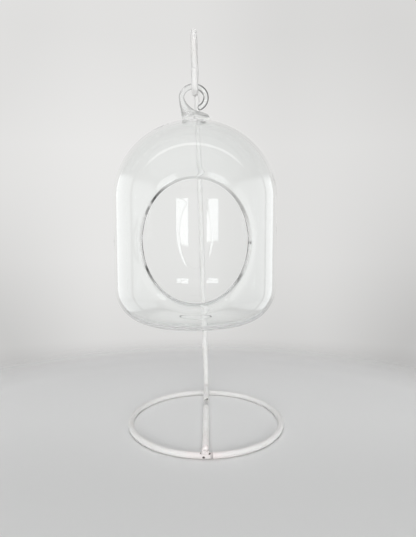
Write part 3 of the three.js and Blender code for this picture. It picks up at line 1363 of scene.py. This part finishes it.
@dataclass(frozen=True)
class Softbox:
    """Flat soft lamp, in metres."""

    name: str
    at: Vector
    aim: Vector
    wide: float
    high: float
    glow: float
    use: Use = Use.LIGHT
    soft: float = 0.0
    colour: Colour = (1.0, 1.0, 1.0)

    def hang(self) -> None:
        """Put the lamp up."""
        data = bpy.data.lights.new(self.name, "AREA")
        data.shape = "RECTANGLE"
        data.size = self.wide
        data.size_y = self.high
        data.energy = self.glow * math.pi * self.wide * self.high
        data.color = self.colour
        if self.soft:
            self._fade(data)
        lamp = bpy.data.objects.new(self.name, data)
        lamp.location = self.at
        lamp.rotation_euler = self.aim.to_track_quat("-Z", "Y").to_euler()
        lamp.visible_camera = False
        lamp.visible_diffuse = self.use is Use.LIGHT
        lamp.visible_glossy = self.use is not Use.LIGHT
        lamp.visible_transmission = self.use is Use.WINDOW
        bpy.context.scene.collection.objects.link(lamp)

    def _fade(self, data: bpy.types.AreaLight) -> None:
        """Let the glow fade out towards the lamp's edges.

        Args:
            data: The lamp.
        """
        data.use_nodes = True
        n = Nodes(data.node_tree)
        place = n.axes(n.node("ShaderNodeNewGeometry").outputs["Parametric"])
        from_edges = [n.maths("PINGPONG", place[axis], 0.5) for axis in ("X", "Y")]
        fades = [n.span(edge, (0, self.soft), (0, 1)) for edge in from_edges]
        n.feed(n.tree.nodes["Emission"], "Strength", n.times(*fades))


@dataclass
class Studio:
    """Pale table, pale surround, soft lamps and the camera."""

    centre: Vector
    eye: Vector = field(default_factory=lambda: Vector((1.75, -400.0, 175.0)) * MM)
    tilt_deg: float = 84.35
    lens: float = 31.64
    sensor: float = 36.0
    clip: float = 0.01
    table_r: float = 0.45
    table_y: float = -0.1
    table_sides: int = 96
    ambient: float = 0.06
    floor_glow: float = 0.55
    floor_z: Pair = (-0.04, 0.0)
    room: float = 1.25
    room_y: Pair = (-0.5, 0.15)
    left_dark: float = 0.80
    left_x: Pair = (-0.85, -0.45)
    right_dark: float = 0.90
    right_x: Pair = (0.45, 0.85)
    right_tone: float = 0.92
    right_tone_x: Pair = (-0.05, 0.16)
    corner_dark: Pair = (0.75, 0.93)
    corner_x: Pair = (0.20, 0.46)
    corner_y: Pair = (0.84, 0.90)
    corner_z: Pair = (-0.30, 0.12)
    warmth: Colour = (1.0, 0.994, 0.982)
    tones: tuple[Pair, ...] = (
        (-0.30, 0.60),
        (-0.27, 0.63),
        (-0.24, 0.71),
        (-0.165, 0.755),
        (-0.08, 0.795),
        (0.15, 0.82),
        (0.35, 0.755),
    )

    def build(self) -> None:
        """Set up the studio."""
        self._camera()
        self._table()
        self._surround()
        for box in self._lamps():
            box.hang()

    def _lamps(self) -> list[Softbox]:
        """Lamps that light the scene, and paler ones that only show in the gloss.

        Returns:
            The lamps.
        """
        right, back, down = Vector((1, 0, 0)), Vector((0, 1, 0)), Vector((0, 0, -1))
        window, glint = Use.WINDOW, Use.GLINT
        cool = (0.95, 0.985, 1.0)

        def lamp(name: str, place: Sequence[float], aim: Vector, *rest: object) -> Softbox:
            """Give a lamp at a place from the middle of the ring."""
            return Softbox(name, self.centre + Vector(place), aim, *rest)

        return [
            lamp("front_low", (0.0, -1.15, 0.36), back * 1.15 + down * 0.26, 1.5, 0.36, 6.7),
            lamp("over", (0.0, 0.05, 1.20), down, 1.0, 1.0, 1.8),
            lamp("key_left", (-1.05, -0.10, 0.30), right + down * 0.2, 0.9, 0.4, 0.9),
            lamp("key_right", (1.05, -0.10, 0.30), -right + down * 0.2, 0.9, 0.4, 0.9),
            lamp("back_top", (0.0, 0.55, 1.00), -back * 0.5 + down, 1.2, 0.9, 0.9),
            lamp("window_right", (0.41, -0.95, 0.2875), back, 0.39, 0.385, 3.0, window, 0.03, cool),
            lamp("window_left", (-0.50, -0.95, 0.292), back, 0.42, 0.376, 3.0, window, 0.03, cool),
            lamp("side_left", (-0.86, -0.325, -0.02), right, 0.67, 1.2, 1.35, glint, 0.14, cool),
            lamp("far_left", (-0.86, 0.425, -0.02), right, 0.87, 1.2, 1.3, glint, 0.1, cool),
            lamp("side_right", (0.86, -0.175, -0.02), -right, 0.97, 1.2, 1.5, glint, 0.1, cool),
            lamp("far_right", (0.86, 0.575, -0.02), -right, 0.57, 1.2, 1.5, glint, 0.12, cool),
            lamp("ceiling_strip", (0.0, -0.25, 1.5), down, 4.5, 0.16, 2.6, glint, 0.3),
        ]

    def _camera(self) -> None:
        """Put the camera where the picture was taken from."""
        data = bpy.data.cameras.new("camera")
        data.lens = self.lens
        data.sensor_width = self.sensor
        data.clip_start = self.clip
        camera = bpy.data.objects.new("camera", data)
        camera.location = self.centre + self.eye
        camera.rotation_euler = (math.radians(self.tilt_deg), 0, 0)
        bpy.context.scene.collection.objects.link(camera)
        bpy.context.scene.camera = camera

    def _table(self) -> None:
        """Lay the table top."""
        bm = bmesh.new()
        middle = self.centre + Vector((0, self.table_y, 0))
        spot = Matrix.Translation(middle)
        bmesh.ops.create_circle(
            bm, cap_ends=True, segments=self.table_sides, radius=self.table_r, matrix=spot
        )
        mesh = bpy.data.meshes.new("table")
        bm.to_mesh(mesh)
        bm.free()
        mesh.materials.append(PaleTable(middle).material())
        table = bpy.data.objects.new("table", mesh)
        table.visible_glossy = False
        bpy.context.scene.collection.objects.link(table)

    def _surround(self) -> None:
        """Give the pale surround: a wall's tones where it is seen, which carry painted shade
        towards its foot and its corners, and even light elsewhere.
        """
        world = bpy.data.worlds.new("surround")
        bpy.context.scene.world = world
        world.use_nodes = True
        n = Nodes(world.node_tree)
        n.tree.nodes.clear()
        way = n.axes(n.node("ShaderNodeTexCoord").outputs["Generated"])
        low, high = self.tones[0][0], self.tones[-1][0]
        height = n.node("ShaderNodeMapRange", {0: way["Z"], 1: low, 2: high}).outputs[0]
        stops = [
            ((z - low) / (high - low), tuple(tone * part for part in self.warmth))
            for z, tone in self.tones
        ]
        rightwards = n.span(way["X"], self.right_tone_x, (1, self.right_tone))
        wall = self._dimmed(n, n.ramp(height, stops), rightwards)
        least = n.span(way["Z"], self.corner_z, self.corner_dark)
        least = n.span(way["Y"], self.corner_y, (1, least))
        corners = n.span(n.maths("ABSOLUTE", way["X"]), self.corner_x, (1, least))
        left = n.span(way["X"], self.left_x, (self.left_dark, 1))
        right = n.span(way["X"], self.right_x, (1, self.right_dark))
        views = {
            "Is Glossy Ray": self._dimmed(n, wall, n.span(way["Y"], self.room_y, (self.room, 1))),
            "Is Transmission Ray": self._dimmed(n, self._dimmed(n, wall, left), right),
            "Is Camera Ray": self._dimmed(n, wall, corners),
        }
        glow = n.span(way["Z"], self.floor_z, (self.floor_glow, self.ambient))
        light = n.node("ShaderNodeBackground", {"Strength": glow}).outputs[0]
        ray = n.node("ShaderNodeLightPath").outputs
        for kind, colour in views.items():
            view = n.node("ShaderNodeBackground", {"Color": colour}).outputs[0]
            light = n.node("ShaderNodeMixShader", {0: ray[kind], 1: light, 2: view}).outputs[0]
        n.node("ShaderNodeOutputWorld", {"Surface": light})

    def _dimmed(self, n: Nodes, colour: Socket, share: Socket) -> Socket:
        """Dim a colour to a share of itself."""
        values = {0: colour, "Scale": share}
        return n.node("ShaderNodeVectorMath", values, operation="SCALE").outputs[0]


def stand_origin(sizes: WireStand) -> Vector:
    """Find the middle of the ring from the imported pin.

    Args:
        sizes: Sizes of the stand.

    Returns:
        The middle of the ring on the table, in metres.
    """
    low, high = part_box("joint_pin")
    return Vector(((low[0] + high[0]) / 2, low[1] - (sizes.bar_rear - sizes.pin_insert) * MM, 0))


def glass_origin(body_r: float) -> Vector:
    """Find the middle of the vessel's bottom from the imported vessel.

    Args:
        body_r: Radius of the vessel in millimetres.

    Returns:
        The middle of its bottom, in metres.
    """
    low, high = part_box("glass_vessel")
    return Vector(((low[0] + high[0]) / 2, high[1] - body_r * MM, low[2]))


def main() -> None:
    """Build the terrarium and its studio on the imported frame."""
    logging.basicConfig(level=logging.INFO, format="%(message)s")
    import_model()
    bpy.context.scene.view_settings.view_transform = "Standard"
    paths = bpy.context.scene.cycles
    paths.max_bounces = paths.transmission_bounces = paths.glossy_bounces = BOUNCES
    stand = WireStand(Vector(), Body.STAND)
    stand.origin = stand_origin(stand)
    vessel = GlassVessel(Vector(), Body.GLASS)
    vessel.origin = glass_origin(vessel.body_r)
    loop = HangingLoop(vessel.origin, Body.GLASS, vessel)
    Studio(stand.origin).build()
    stand.build()
    lip = ClearGlass("vessel_glass", edge_span=(-0.6, 0.1))
    vessel.build(lip.material(vessel.mouth))
    drawn = ClearGlass("loop_glass", edge_span=(0.06, 0.34), fused_ior=1.06)
    loop.build(drawn.material(loop.drawn))


if __name__ == "__main__":
    main()
